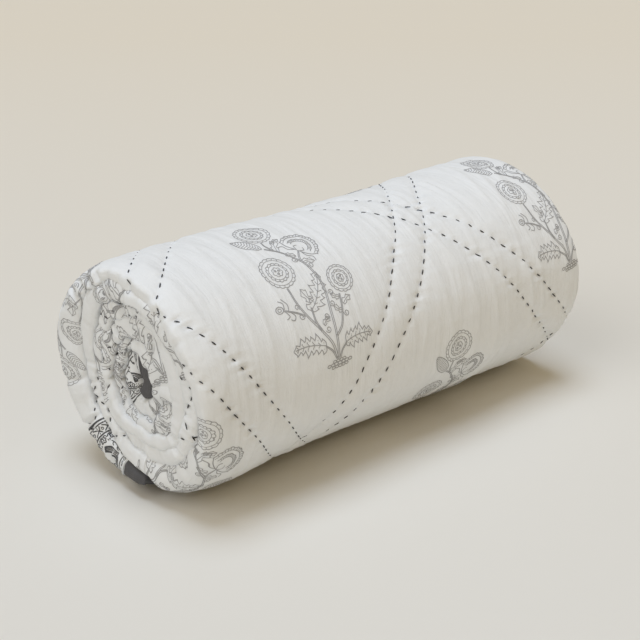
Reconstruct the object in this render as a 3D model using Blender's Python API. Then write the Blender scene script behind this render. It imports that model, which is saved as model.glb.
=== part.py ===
"""A double-bed quilt, folded in four across its width, rolled up and lying on its side.

The roll's length runs along X, it rests on the plane Z = 0, and its open end with the wound folds in full view
faces -X. The origin is under the middle of the roll. All sizes are in metres.

The folded quilt is a long strip. Each solid is a stretch of that strip, first made flat (along, across and
through the strip) and then wound about the heart of the roll.
"""
import math

import bmesh
import bpy
import numpy as np
from mathutils import Vector

# The folded strip
ROLL_LENGTH = 0.570            # fold to fold, the quilt's 2.29 m width folded in four
BINDING_WIDTH = 0.043          # charcoal binding that shows along the strip's cut ends
FOLD_ROUNDNESS = 0.45          # how far a fold's round edge reaches, as a share of the strip's thickness
FOLD_REACH_MAX = 0.015
PIECE_GAP = 0.0003             # between the cloth and the binding sewn to it
TURN_GAP = 0.0014              # between one turn and the next
HEART_RADIUS = 0.003
HEART_FILL = 0.0045            # how far the inner binding bulges back over the heart
CLOTH_HEART_RADIUS = 0.008     # the space that the cloth's first turn leaves for it
HEART_RAMP_ANGLE = 45.0        # over which that turn rises onto the binding's start
HEART_FILL_ANGLES = (20.0, 92.0)

# The winding, as seen from the near end: 0 degrees is the front (-Y), 90 the top, 180 the back, 270 the floor
HEART_Y = -0.0273
HEART_Z = 0.130
TURN_COLUMNS = (0, 45, 90, 135, 180, 225, 250, 270, 290, 315)
# Radius of the strip's outer face in millimetres at those angles, a row for each turn from the heart outwards
TURN_ROWS = (
    (18.5, 21, 28, 35, 42, 44, 42, 38, 38, 38.5),
    (38, 40, 47, 54, 57, 61, 59, 55, 57, 59.5),
    (57, 60, 70, 74, 70, 72, 71, 70, 74, 77),
    (73, 76, 87, 92, 84, 84, 86, 88, 91, 94),
    (90, 94, 102, 117, 108, 107, 108, 112, 113, 115),
    (108.5, 109, 114.5, 133, 164, 147, 143, 136, 136, 136),
)
BINDING_START_ANGLE = -50.0    # where the strip's inner end lies, in the heart
CLOTH_START_ANGLE = 112.0      # where the inner binding ends and the printed cloth begins
TAIL_ANGLE = 5 * 360 + 272.0   # where the strip's outer end lies, under the roll
DROP_HEIGHT = 0.0110           # the turn under the tail swells out again just past the tail's end
DROP_ANGLES = (TAIL_ANGLE - 358.0, TAIL_ANGLE - 348.0, TAIL_ANGLE - 305.0)
HEART_START_RADIUS = 0.010     # the inner end's outer face, where it starts
SMOOTHING_ANGLE = 6.0          # rounds the winding between the angles of the table
ANGLE_STEP = 0.5

# How far each turn's folds stand back from the roll's ends, in millimetres, from the heart outwards
NEAR_RECESS = (13, 8, 4, 5, 2, 0)
FAR_RECESS = (9, 7, 5, 3, 3, 0)
EDGE_WAVER = 0.0012            # slow waver of the folds along the strip
WAVERS_PER_TURN = 1.37
FAR_WAVER_PHASE = 2.0
# The far end leans back over its front and top: more recess there, in millimetres, at these angles
FAR_LEAN_ANGLES = (-15, 10, 30, 60, 90, 130)
FAR_LEAN = (0, 2, 9, 11, 8, 0)

# Both ends are drawn in a little, and their rims aren't pressed to the floor
END_DRAW = 0.05                # share of the radius
END_DRAW_LENGTH = 0.030
RIM_LIFT_NEAR = 0.012
RIM_LIFT_FAR = 0.003
RIM_LENGTH = 0.070

# The far half is wound looser, so its top and back swell
SHOULDER = 0.05                # share of the radius
SHOULDER_ANGLE = 125.0
SHOULDER_FROM = 0.060          # along X
SHOULDER_LENGTH = 0.130

# Quilting: pairs of running-stitch lines that cross as large diamonds on the outer face
DIAMOND_WIDTH = 0.360
DIAMOND_HEIGHT = 0.400
DIAMOND_CROSSING_X = 0.065     # one crossing, from the middle of the roll
DIAMOND_CROSSING_ALONG = 0.300  # and along the strip, from where the outer face leaves the floor
LINE_PAIR_WIDTH = 0.045        # across a pair, along X
# How far the hand-marked pairs stray at the crossing, along X, and for each metre along the strip beyond it
PAIR_DRIFTS = {(-1, -1): (-0.028, 0.17), (-1, 0): (0.009, -0.03), (1, -1): (-0.008, 0.0), (1, 0): (-0.009, -0.125),
               (1, 1): (0.042, 0.0)}
CHANNEL_DEPTH = 0.0021
CHANNEL_BELOW = 0.35           # share of that depth that lies below the wound surface
PUFF_WIDTH = 0.014
FACE_LEAVES_FLOOR_ANGLE = 4 * 360 + 280.0

# Fineness of the solids
HEART_STEP = 0.008
HEART_STEP_GROWTH = 0.014      # the steps grow by this share of the length wound so far
INNER_STEP = 0.017
OUTER_STEP = 0.0145
OUTER_CROSS_STEP = 0.0190
EDGE_COLUMNS = (0.008, 0.017, 0.028)   # extra cuts of the outer face, from each end
FOLD_CUTS = (0.13, 0.5, 0.87)
FLAT_THICKNESS = 0.020         # of the strip while it is flat
TAIL_END_FULLNESS = 0.55       # the bindings' free ends are rounded to this share of the thickness

CLOTH = {"colour": (0.70, 0.69, 0.66, 1.0), "roughness": 0.90, "metallic": 0.0}
BINDING = {"colour": (0.075, 0.075, 0.080, 1.0), "roughness": 0.88, "metallic": 0.0}


class Winding:
    """Turns a place along the flat strip into an angle and two radii of the roll."""

    def __init__(self):
        knots = [BINDING_START_ANGLE]
        radii = [HEART_START_RADIUS]
        for turn, row in enumerate(TURN_ROWS):
            for column, radius in zip(TURN_COLUMNS, row):
                knots.append(360.0 * turn + column)
                radii.append(radius * 0.001)
        self.angles = np.arange(BINDING_START_ANGLE, TAIL_ANGLE + ANGLE_STEP / 2, ANGLE_STEP)
        self.radii = self.smoothed(np.interp(self.angles, knots, radii)) + self.drop_past_tail(self.angles)
        steps = np.hypot(np.diff(self.radii), self.radii[1:] * math.radians(ANGLE_STEP))
        self.lengths = np.concatenate([[0.0], np.cumsum(steps)])

    @staticmethod
    def smoothed(values):
        reach = round(3.0 * SMOOTHING_ANGLE / ANGLE_STEP)
        offsets = np.arange(-reach, reach + 1) * ANGLE_STEP
        weights = np.exp(-0.5 * (offsets / SMOOTHING_ANGLE) ** 2)
        padded = np.pad(values, reach, mode="edge")
        return np.convolve(padded, weights / weights.sum(), mode="valid")

    @staticmethod
    def drop_past_tail(angles):
        swell = np.interp(angles, DROP_ANGLES, (0.0, 1.0, 0.0))
        return DROP_HEIGHT * swell * swell * (3.0 - 2.0 * swell)

    def angle_at(self, along):
        return float(np.interp(along, self.lengths, self.angles))

    def along_at(self, angle):
        return float(np.interp(angle, self.angles, self.lengths))

    def outer(self, angle):
        return float(np.interp(angle, self.angles, self.radii))

    def inner(self, angle):
        below = angle - 360.0
        if below >= BINDING_START_ANGLE:
            return self.outer(below) + TURN_GAP
        if angle < CLOTH_START_ANGLE - 2.0 * ANGLE_STEP:
            return HEART_RADIUS
        onto_binding = (BINDING_START_ANGLE + 360.0 - HEART_RAMP_ANGLE, BINDING_START_ANGLE + 360.0)
        radii = (CLOTH_HEART_RADIUS, self.outer(BINDING_START_ANGLE) + TURN_GAP)
        return float(np.interp(angle, onto_binding, radii))


WINDING = Winding()
OUTER_FACE_FROM = WINDING.along_at(TAIL_ANGLE - 358.5)
CLOTH_FROM = WINDING.along_at(CLOTH_START_ANGLE)
STRIP_END = WINDING.along_at(TAIL_ANGLE)
CLOTH_TO = STRIP_END - BINDING_WIDTH
FACE_LEAVES_FLOOR = WINDING.along_at(FACE_LEAVES_FLOOR_ANGLE)


def clear_scene():
    for scene_object in list(bpy.data.objects):
        bpy.data.objects.remove(scene_object, do_unlink=True)


def make_material(name, look):
    material = bpy.data.materials.new(name)
    material.use_nodes = True
    shader = material.node_tree.nodes["Principled BSDF"]
    shader.inputs["Base Color"].default_value = look["colour"]
    shader.inputs["Roughness"].default_value = look["roughness"]
    shader.inputs["Metallic"].default_value = look["metallic"]
    material.diffuse_color = look["colour"]
    return material


def stations(start, end):
    """Places to cut the flat strip across, closer together near the heart and on the outer face."""
    places = []
    place = start
    while True:
        if place >= OUTER_FACE_FROM - 0.001:
            step = OUTER_STEP
        else:
            step = min(INNER_STEP, HEART_STEP + HEART_STEP_GROWTH * place)
        place += step
        if place > end - 0.5 * step:
            return places
        places.append(place)


def cross_stations():
    """Places to cut the outer face along the roll, closer together at its ends."""
    inset = EDGE_COLUMNS[-1]
    columns = round((ROLL_LENGTH - 2 * inset) / OUTER_CROSS_STEP)
    places = list(np.linspace(inset - ROLL_LENGTH / 2, ROLL_LENGTH / 2 - inset, columns + 1))
    for edge in EDGE_COLUMNS[:-1]:
        places += [edge - ROLL_LENGTH / 2, ROLL_LENGTH / 2 - edge]
    return places


def stitch_line_planes():
    """Upright planes through the flat strip, one along each stitch line of the outer face."""
    crossing = Vector((FACE_LEAVES_FLOOR + DIAMOND_CROSSING_ALONG, DIAMOND_CROSSING_X, 0.0))
    planes = []
    for direction in (-1, 1):
        for repeat in range(-3, 3):
            stray, lean = PAIR_DRIFTS.get((direction, repeat), (0.0, 0.0))
            run = Vector((1.0, direction * DIAMOND_WIDTH / DIAMOND_HEIGHT + lean, 0.0)).normalized()
            normal = Vector((-run.y, run.x, 0.0))
            for side in (-0.5, 0.5):
                shift = repeat * DIAMOND_WIDTH + side * LINE_PAIR_WIDTH + stray
                planes.append((crossing + Vector((0.0, shift, 0.0)), normal))
    return planes


def distance_to_stitching(along, across):
    point = Vector((along, across, 0.0))
    return min(abs((point - foot).dot(normal)) for foot, normal in STITCH_PLANES)


STITCH_PLANES = stitch_line_planes()


def cut(bm, point, normal, faces=None):
    chosen = bm.faces[:] if faces is None else faces
    edges = {edge for face in chosen for edge in face.edges}
    verts = {vert for face in chosen for vert in face.verts}
    bmesh.ops.bisect_plane(bm, geom=list(verts) + list(edges) + list(chosen), plane_co=point, plane_no=normal,
                           dist=1e-5)


def outer_face_quads(bm):
    """Faces of the strip's upper side that lie on the outside of the finished roll."""
    return [face for face in bm.faces
            if face.normal.z > 0.9 and face.calc_center_median().x > OUTER_FACE_FROM]


def flat_strip(start, end):
    """A stretch of the flat strip: x along it, y across it, z through it."""
    bm = bmesh.new()
    bmesh.ops.create_cube(bm, size=1.0)
    size = (end - start, ROLL_LENGTH, FLAT_THICKNESS)
    bmesh.ops.scale(bm, vec=size, verts=bm.verts)
    bmesh.ops.translate(bm, vec=((start + end) / 2, 0.0, FLAT_THICKNESS / 2), verts=bm.verts)
    for place in stations(start, end):
        cut(bm, (place, 0.0, 0.0), (1.0, 0.0, 0.0))
    if end > OUTER_FACE_FROM:
        if start < OUTER_FACE_FROM:
            cut(bm, (OUTER_FACE_FROM, 0.0, 0.0), (1.0, 0.0, 0.0))
        for across in cross_stations():
            cut(bm, (0.0, across, 0.0), (0.0, 1.0, 0.0), outer_face_quads(bm))
        for foot, normal in STITCH_PLANES:
            cut(bm, foot, normal, outer_face_quads(bm))
    for share in FOLD_CUTS:
        folds = [face for face in bm.faces if abs(face.normal.z) < 0.5]
        cut(bm, (0.0, 0.0, share * FLAT_THICKNESS), (0.0, 0.0, 1.0), folds)
    return bm


def fold_edge(angle, thickness, share, far):
    """Distance of the fold's surface from the middle of the roll, for a share of the way through the strip."""
    recesses = FAR_RECESS if far else NEAR_RECESS
    turn = angle / 360.0 - 0.5
    recess = float(np.interp(turn, range(len(recesses)), recesses)) * 0.001
    if far:
        recess += float(np.interp((angle + 90.0) % 360.0 - 90.0, FAR_LEAN_ANGLES, FAR_LEAN)) * 0.001
    phase = FAR_WAVER_PHASE if far else 0.0
    waver = EDGE_WAVER * (1.0 + math.sin(math.radians(angle) * WAVERS_PER_TURN + phase))
    reach = min(FOLD_ROUNDNESS * thickness, FOLD_REACH_MAX)
    rounding = reach * (1.0 - math.sqrt(max(0.0, 1.0 - (2.0 * share - 1.0) ** 2)))
    return ROLL_LENGTH / 2 - recess - waver - rounding


def quilting_relief(along, across):
    """How far the quilting puffs the outer face out, or draws it in along the stitch lines."""
    puff = 1.0 - math.exp(-distance_to_stitching(along, across) / PUFF_WIDTH)
    return CHANNEL_DEPTH * (puff - CHANNEL_BELOW)


def wound_point(flat, quilted, end_roundness):
    along, across, height = flat
    share = min(1.0, max(0.0, height / FLAT_THICKNESS))
    angle = WINDING.angle_at(along)
    outer = WINDING.outer(angle)
    inner = WINDING.inner(angle)
    share_inside = 0.5 + (share - 0.5) * end_roundness
    radius = inner + share_inside * (outer - inner)
    edge = fold_edge(angle, outer - inner, share, across > 0.0)
    x = across / (ROLL_LENGTH / 2) * edge
    floor_radius = HEART_Z / max(1e-6, -math.sin(math.radians(angle)))
    on_floor = radius > floor_radius - 0.001
    if quilted and share > 0.999 and along > OUTER_FACE_FROM + 0.01 and not on_floor:
        radius += quilting_relief(along, across)
    bulge = (1.0 - share) * float(np.interp(angle, HEART_FILL_ANGLES, (HEART_FILL, 0.0)))
    radius = rim_radius(x, min(radius, floor_radius), angle)
    y = HEART_Y + bulge - radius * math.cos(math.radians(angle))
    return Vector((x, y, HEART_Z + radius * math.sin(math.radians(angle))))


def towards_end(x, length):
    """Rises smoothly from 0 to 1 over the last stretch of the roll at either end."""
    share = min(1.0, max(0.0, (abs(x) - (ROLL_LENGTH / 2 - length)) / length))
    return share * share * (3.0 - 2.0 * share)


def rim_radius(x, radius, angle):
    """Swells the far shoulder, draws the roll's ends in and lifts the lower half of their rims off the floor."""
    reach = min(1.0, max(0.0, (x - SHOULDER_FROM) / SHOULDER_LENGTH))
    facing = max(0.0, math.cos(math.radians(angle - SHOULDER_ANGLE)))
    swollen = radius * (1.0 + SHOULDER * reach * reach * (3.0 - 2.0 * reach) * facing ** 2)
    drawn = swollen * (1.0 - END_DRAW * towards_end(x, END_DRAW_LENGTH))
    below = max(0.0, -math.sin(math.radians(angle))) * drawn / HEART_Z
    lift = RIM_LIFT_FAR if x > 0.0 else RIM_LIFT_NEAR
    return drawn - lift * towards_end(x, RIM_LENGTH) * below ** 1.5


def wind_up(bm, quilted, start, end, rounded_start=False, rounded_end=False):
    """Moves the flat strip's points onto the roll. Winding mirrors the strip, so its faces are turned round."""
    for vert in bm.verts:
        at_start = rounded_start and vert.co.x < start + 1e-4
        at_end = rounded_end and vert.co.x > end - 1e-4
        vert.co = wound_point(vert.co, quilted, TAIL_END_FULLNESS if at_start or at_end else 1.0)
    bmesh.ops.reverse_faces(bm, faces=bm.faces)


def add_piece(name, bm, material, collection, parent):
    mesh = bpy.data.meshes.new(name)
    bm.to_mesh(mesh)
    bm.free()
    mesh.materials.append(material)
    mesh.shade_smooth()
    mesh.set_sharp_from_angle(angle=math.radians(50.0))
    piece = bpy.data.objects.new(name, mesh)
    collection.objects.link(piece)
    piece.parent = parent
    return piece


def quilt_roll(collection, parent, material):
    """The printed, quilted cloth, wound up in one solid."""
    bm = flat_strip(CLOTH_FROM, CLOTH_TO)
    wind_up(bm, True, CLOTH_FROM, CLOTH_TO)
    return add_piece("quilt_roll", bm, material, collection, parent)


def binding_tail(collection, parent, material):
    """The binding on the strip's loose end, which lies under the roll."""
    start = CLOTH_TO + PIECE_GAP
    bm = flat_strip(start, STRIP_END)
    wind_up(bm, False, start, STRIP_END, rounded_end=True)
    return add_piece("binding_tail", bm, material, collection, parent)


def binding_core(collection, parent, material):
    """The binding on the strip's inner end, curled up in the heart of the roll."""
    end = CLOTH_FROM - PIECE_GAP
    bm = flat_strip(0.0, end)
    wind_up(bm, False, 0.0, end, rounded_start=True)
    return add_piece("binding_core", bm, material, collection, parent)


def main():
    clear_scene()
    collection = bpy.data.collections.new("Rolled quilt")
    bpy.context.scene.collection.children.link(collection)
    parent = bpy.data.objects.new("rolled_quilt", None)
    collection.objects.link(parent)
    cloth = make_material("printed_cotton", CLOTH)
    binding = make_material("charcoal_binding", BINDING)
    quilt_roll(collection, parent, cloth)
    binding_tail(collection, parent, binding)
    binding_core(collection, parent, binding)


main()
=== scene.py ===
"""Looks of the rolled quilt: quilted cotton, block prints, bindings, running stitch, floor and light.

All sizes are in metres unless a name says otherwise. The roll lies along X, its near end at -X and its
front at -Y. Around it, 0 degrees is the front, 90 the top, 180 the back and 270 the floor, and each turn
adds 360. The cloth is described flat: "along" runs along the folded strip from its inner end, "across"
runs across it, over the folds at both ends of the roll.
"""

import math

import bmesh
import bpy
import numpy as np
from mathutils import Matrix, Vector


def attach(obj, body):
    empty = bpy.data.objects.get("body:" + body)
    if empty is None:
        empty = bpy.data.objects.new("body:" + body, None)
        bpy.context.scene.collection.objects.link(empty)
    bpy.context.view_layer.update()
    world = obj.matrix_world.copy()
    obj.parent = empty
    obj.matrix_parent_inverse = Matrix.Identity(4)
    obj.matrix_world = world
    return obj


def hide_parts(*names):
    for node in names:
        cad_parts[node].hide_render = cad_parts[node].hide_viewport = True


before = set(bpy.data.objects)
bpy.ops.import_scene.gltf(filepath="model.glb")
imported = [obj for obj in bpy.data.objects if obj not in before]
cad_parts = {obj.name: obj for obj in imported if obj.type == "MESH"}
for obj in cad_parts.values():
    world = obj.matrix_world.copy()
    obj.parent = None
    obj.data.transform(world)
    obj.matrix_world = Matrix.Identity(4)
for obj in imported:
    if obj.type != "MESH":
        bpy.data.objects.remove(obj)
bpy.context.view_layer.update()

# The roll, the same sizes as its solids have
ROLL_LENGTH = 0.570  # fold to fold
BINDING_WIDTH = 0.043
FOLD_ROUNDNESS = 0.45  # how far a fold's round edge reaches, as a share of the strip's thickness
FOLD_REACH_MAX = 0.015
PIECE_GAP = 0.0003  # between the cloth and its bindings
TURN_GAP = 0.0014  # between one turn and the next
HEART_RADIUS = 0.003
HEART_FILL = 0.0045  # how far the inner binding bulges back over the heart
HEART_FILL_ANGLES = (20.0, 92.0)
CLOTH_HEART_RADIUS = 0.008  # the space that the cloth's first turn leaves for it
HEART_RAMP_ANGLE = 45.0  # over which that turn rises onto the binding's start
HEART_Y = -0.0273
HEART_Z = 0.130
TURN_COLUMNS = (0, 45, 90, 135, 180, 225, 250, 270, 290, 315)
# Radius of the strip's outer face in millimetres at those angles, a row for each turn from the heart outwards
TURN_ROWS = (
    (18.5, 21, 28, 35, 42, 44, 42, 38, 38, 38.5),
    (38, 40, 47, 54, 57, 61, 59, 55, 57, 59.5),
    (57, 60, 70, 74, 70, 72, 71, 70, 74, 77),
    (73, 76, 87, 92, 84, 84, 86, 88, 91, 94),
    (90, 94, 102, 117, 108, 107, 108, 112, 113, 115),
    (108.5, 109, 114.5, 133, 164, 147, 143, 136, 136, 136),
)
BINDING_START_ANGLE = -50.0  # the strip's inner end, in the heart
CLOTH_START_ANGLE = 112.0
TAIL_ANGLE = 5 * 360 + 272.0  # the strip's outer end, under the roll
DROP_HEIGHT = 0.0110  # the turn under the tail swells out again past the tail's end
DROP_ANGLES = (TAIL_ANGLE - 358.0, TAIL_ANGLE - 348.0, TAIL_ANGLE - 305.0)
HEART_START_RADIUS = 0.010
SMOOTHING_ANGLE = 6.0
ANGLE_STEP = 0.5
# How far each turn's folds stand back from the roll's ends, in millimetres, from the heart outwards
NEAR_RECESS = (13, 8, 4, 5, 2, 0)
FAR_RECESS = (9, 7, 5, 3, 3, 0)
EDGE_WAVER = 0.0012  # slow waver of the folds along the strip
WAVERS_PER_TURN = 1.37
FAR_WAVER_PHASE = 2.0
# The far end leans back over its front and top: more recess, in millimetres, at these angles
FAR_LEAN_ANGLES = (-15, 10, 30, 60, 90, 130)
FAR_LEAN = (0, 2, 9, 11, 8, 0)
END_DRAW = 0.05  # both ends are drawn in by this share of the radius
END_DRAW_LENGTH = 0.030
RIM_LIFT_NEAR = 0.012  # the rims aren't pressed to the floor
RIM_LIFT_FAR = 0.003
RIM_LENGTH = 0.070
SHOULDER = 0.05  # the looser far half swells by this share of the radius
SHOULDER_ANGLE = 125.0
SHOULDER_FROM = 0.060  # along X
SHOULDER_LENGTH = 0.130

# Quilting on the flat cloth: pairs of running-stitch lines that cross as large diamonds
DIAMOND_WIDTH = 0.360
DIAMOND_HEIGHT = 0.400
DIAMOND_CROSSING_X = 0.065  # one crossing, from the middle of the roll
DIAMOND_CROSSING_ALONG = 0.300  # and along the strip, from where the outer face leaves the floor
FACE_LEAVES_FLOOR_ANGLE = 4 * 360 + 280.0
LINE_PAIR_WIDTH = 0.045  # across a pair, along X
# How far the hand-marked pairs stray at the crossing, and for each metre beyond it, by direction and repeat
PAIR_DRIFTS = {(-1, -1): (-0.028, 0.17), (-1, 0): (0.009, -0.03), (1, -1): (-0.005, 0.0),
               (1, 0): (-0.009, -0.125), (1, 1): (0.042, 0.0)}
DRIFT_STOPS = (-0.33, 0.46)  # no pair strays further past these places beyond the crossing
CHANNEL_DEPTH = 0.0021
CHANNEL_BELOW = 0.35  # share of that depth that lies below the wound surface
PUFF_WIDTH = 0.014
STITCH_PITCH = 0.0148
STITCH_LENGTH = 0.0057
THREAD_WIDTH = 0.0014
STITCHES_STOP = 0.078  # before each binding
STITCH_COUNTS = (-340, 130)  # counted from the crossing, enough to reach both ends of the strip
PAIR_REPEATS = (-9, 10)

# Puckers, gathers and creases
PUCKER_DEPTH = 0.0021  # at each stitch
PUCKER_WIDTH = 0.0042
GATHER_DEPTH = 0.0009  # beside a stitch line
GATHER_WIDTH = 0.010
GATHERS_LOST_ON_FOLDS = 0.7
FOLD_CREASE_DEPTH = 0.0030
# Wrinkles and lumps: depth, and size along and across the cloth
LONG_WRINKLES = (0.0015, 0.150, 0.021)  # these run round the roll
SHORT_WRINKLES = (0.0013, 0.085, 0.0115)
CROSS_WRINKLES = (0.0007, 0.018, 0.070)  # and these along it
SWELLS = (0.0030, 0.085, 0.100)
LUMPS = (0.0013, 0.036, 0.040)
FOLD_LUMPS = (0.0016, 0.013, 0.017)
BINDING_LUMPS = (0.0016, 0.020, 0.030)
BINDING_RIPPLES = (0.0010, 0.016, 0.045)
BINDING_END_DROP = 0.0034  # the loose binding's end is pressed thin by this much
BINDING_END_LENGTH = 0.016

# Prints
SPRAY_ACROSS = -0.112  # foot of one spray
SPRAY_ALONG = 0.172
SPRAY_HEIGHT = 0.190
SPRAY_DROPS = (-10, 3)  # half-drops of the repeat along the cloth
SPRAY_COLUMNS = (-1, 2)
SPRAYS_CLEAR = (0.090, 0.080)  # from the inner and the outer binding
SPRAY_FEET_REACH = 0.340  # from the strip's middle
# Sprays that land off their place, across and along the cloth and turned, by drop and column of the repeat
SPRAYS_ASTRAY = {(0, 0): (0.0, 0.0, 0.0), (0, 1): (0.010, 0.013, 4.0), (1, 0): (0.0, 0.028, 0.0),
                 (1, -1): (0.014, 0.045, 0.0), (-1, -1): (0.019, -0.003, -3.0),
                 (-1, 0): (0.012, -0.006, 0.0), (-3, -1): (0.017, -0.052, 0.0),
                 (-5, -1): (0.026, -0.112, 0.0), (-7, -1): (0.012, -0.248, -6.0),
                 (-8, -1): (0.197, -0.262, 0.0), (-9, -1): (0.020, -0.240, 0.0)}
# The main motif in millimetres from its foot. Stems: spread and knots
SPRAY_STEMS = (
    (2.1, (-1, 7), (1, 34), (3, 55), (7, 77), (7, 95), (3, 112), (-4, 124), (-13, 136), (-24, 144)),
    (2.1, (-2, 8), (-7, 25), (-16, 40), (-26, 57), (-32, 73), (-34, 90)),
    (1.8, (1, 30), (11, 39), (18, 54), (22, 69)),
    (1.6, (-15, 39), (-19, 50), (-18, 64)),
    (1.5, (-16, 139), (-19, 148), (-18, 156)),
    (1.6, (2, 114), (4, 121), (9, 129)),
    (1.6, (-3, 8), (-8, 17), (-16, 24)),
    (1.6, (1, 8), (5, 15), (12, 21)),
)
# Leaflets: place, direction in degrees, length and breadth
SPRAY_LEAFLETS = (
    (-12, 136, 62, 21, 11.25), (-13, 70, 118, 17, 11.25), (22, 58, 28, 13, 8.75), (3, 113, -10, 14, 8.75),
    (-9, 150, 20, 12, 7.5), (18, 52, 142, 12, 7.5), (-11, 44, 30, 12, 7.5), (20, 66, 150, 11, 7.5),
    (-8, 128, -30, 11, 7.5),
)
# Tendrils: place, direction in degrees, size and the way they curl
SPRAY_TENDRILS = (
    (-29, 60, 200, 3.8, 1), (-8, 50, 20, 3.8, -1), (-11, 38, 10, 3.6, -1), (9, 72, 10, 3.6, 1),
    (5, 61, 15, 3.4, -1), (18, 50, -20, 3.6, -1), (5, 108, -15, 3.6, -1), (0, 118, 165, 3.6, 1),
    (-32, 66, 130, 3.2, -1),
)
BORDER_REPEAT_MM = 31.0
BORDER_REPEATS = 24
BORDER_DEPTH = 0.082
PRINT_LIFT = 0.00025  # the print lies this far over the cloth's facets

# Colours: the lighter and the darker tone of each material
COTTON_TONES = ("F1F4F7", "E8ECF0")
BINDING_TONES = ("626265", "505053")
SPRAY_INK_TONES = ("BEBFC2", "929498")
BORDER_INK_TONES = ("6E7074", "3E3F43")
THREAD_TONES = ("505156", "33343A")
# The paper's two tones hold a painted light falloff: the first is the far, warmer floor, the second the near
# floor
PAPER_TONES_WITH_PAINTED_FALLOFF = ("E4DDCF", "E3E2DE")

# Camera, floor and light
CAMERA_AZIMUTH = -41.585
CAMERA_ELEVATION = 22.686
CAMERA_DISTANCE = 1.4652
CAMERA_TARGET = Vector((-0.0187, -0.0023, 0.119))
LENS_MM = 73.18
FLOOR_SIZE = 60.0
# Soft lights: name, where it shines from, strength, how wide it looks in degrees, colour
LIGHTS = (("overhead_softbox", (-0.05, 0.05, 1.0), 1.68, 32.0, "DBEAFF"),
          ("left_softbox", (-1.0, 0.02, 0.95), 0.78, 40.0, "F4F7FC"),
          ("front_fill", (-0.25, -0.90, 0.40), 0.38, 80.0, "FFE6C2"))
SKY_COLOUR = "FFE7B6"
SKY_STRENGTH = 0.30

# Fineness of the cloth, and of the bindings in steps along the strip, across its outer and its inner face
OUTER_STEP = 0.0034
OUTER_CROSS_STEP = 0.0018
INNER_STEP = 0.0018
FOLD_STEPS = 20
TAIL_STEPS = (20, 60, 30)
CORE_STEPS = (30, 8, 6)

# What is added here to the shape of the solids
HEART_SHIFT = (0.0085, -0.0080)  # the heart is pressed this far along Y and Z
HEART_STRETCH = 0.42  # and drawn out tall by this share
HEART_REACH = 0.052  # where both have died away, from the middle of the heart
DRAWN_IN_ANGLES = (4 * 360 + 262, 4 * 360 + 296, 5 * 360 - 15, 5 * 360 + 25)
DRAWN_IN = (0, 9, 9, 0)  # millimetres that the outer turn's near fold is drawn in at those angles
TUCK = 0.0050  # the cloth leaves the floor a little sooner at the front
TUCK_ANGLE = 298.0
TUCK_SPREAD = 22.0  # degrees
TUCK_STARTS_ANGLE = 4 * 360 + 180
TUCK_ALONG = (-0.24, -0.13, 0.16, 0.25)  # it grows and fades between these places along X
FOLD_SQUARENESS = 0.64  # under 1 flattens the folds' round edges
CREASE_WANDER = 0.00572  # how far the creases between the turns kink at the roll's ends
CREASE_WAVE = 16.0  # degrees a kink
CREASE_LENGTH = 0.100  # along X from each end
# Pinched pleats in the near folds: turn, angle, and half-width and depth in millimetres
PLEATS = ((5, 121, 4.5, 4.5), (5, 131, 4.0, 8.5), (5, 139, 5.0, 6.0), (5, 148, 3.5, 7.5), (5, 196, 5.0, 4.0),
          (5, 219, 3.0, 6.0), (4, 121, 4.0, 6.0), (3, 108, 5.0, 6.0), (3, 150, 4.0, 5.0), (4, 332, 4.0, 5.0),
          (3, 318, 4.0, 6.0), (2, 322, 5.0, 6.0), (2, 128, 4.0, 6.0), (2, 60, 4.0, 4.0), (1, 118, 4.0, 6.0),
          (1, 350, 4.0, 6.0), (4, 183, 3.0, 3.0), (4, 196, 3.0, 3.0))


def eased(share):
    """Goes from 0 to 1 with a soft start and end."""
    return share * share * (3.0 - 2.0 * share)


class Winding:
    """Turns a place along the flat strip into an angle and two radii of the roll."""

    def __init__(self):
        knots = [BINDING_START_ANGLE]
        radii = [HEART_START_RADIUS]
        for turn, row in enumerate(TURN_ROWS):
            for column, radius in zip(TURN_COLUMNS, row):
                knots.append(360.0 * turn + column)
                radii.append(radius * 0.001)
        self.angles = np.arange(BINDING_START_ANGLE, TAIL_ANGLE + ANGLE_STEP / 2, ANGLE_STEP)
        drop = DROP_HEIGHT * eased(np.interp(self.angles, DROP_ANGLES, (0.0, 1.0, 0.0)))
        self.radii = self.smoothed(np.interp(self.angles, knots, radii)) + drop
        steps = np.hypot(np.diff(self.radii), self.radii[1:] * math.radians(ANGLE_STEP))
        self.lengths = np.concatenate([[0.0], np.cumsum(steps)])

    @staticmethod
    def smoothed(values):
        reach = round(3.0 * SMOOTHING_ANGLE / ANGLE_STEP)
        offsets = np.arange(-reach, reach + 1) * ANGLE_STEP
        weights = np.exp(-0.5 * (offsets / SMOOTHING_ANGLE) ** 2)
        padded = np.pad(values, reach, mode="edge")
        return np.convolve(padded, weights / weights.sum(), mode="valid")

    def angle_at(self, along):
        return np.interp(along, self.lengths, self.angles)

    def along_at(self, angle):
        return float(np.interp(angle, self.angles, self.lengths))

    def outer(self, angle):
        return np.interp(angle, self.angles, self.radii)

    def inner(self, angle):
        below = angle - 360.0
        binding_start = self.outer(BINDING_START_ANGLE) + TURN_GAP
        onto_binding = (BINDING_START_ANGLE + 360.0 - HEART_RAMP_ANGLE, BINDING_START_ANGLE + 360.0)
        heart = np.interp(angle, onto_binding, (CLOTH_HEART_RADIUS, binding_start))
        heart = np.where(angle < CLOTH_START_ANGLE - 2.0 * ANGLE_STEP, HEART_RADIUS, heart)
        return np.where(below >= BINDING_START_ANGLE, self.outer(below) + TURN_GAP, heart)


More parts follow.
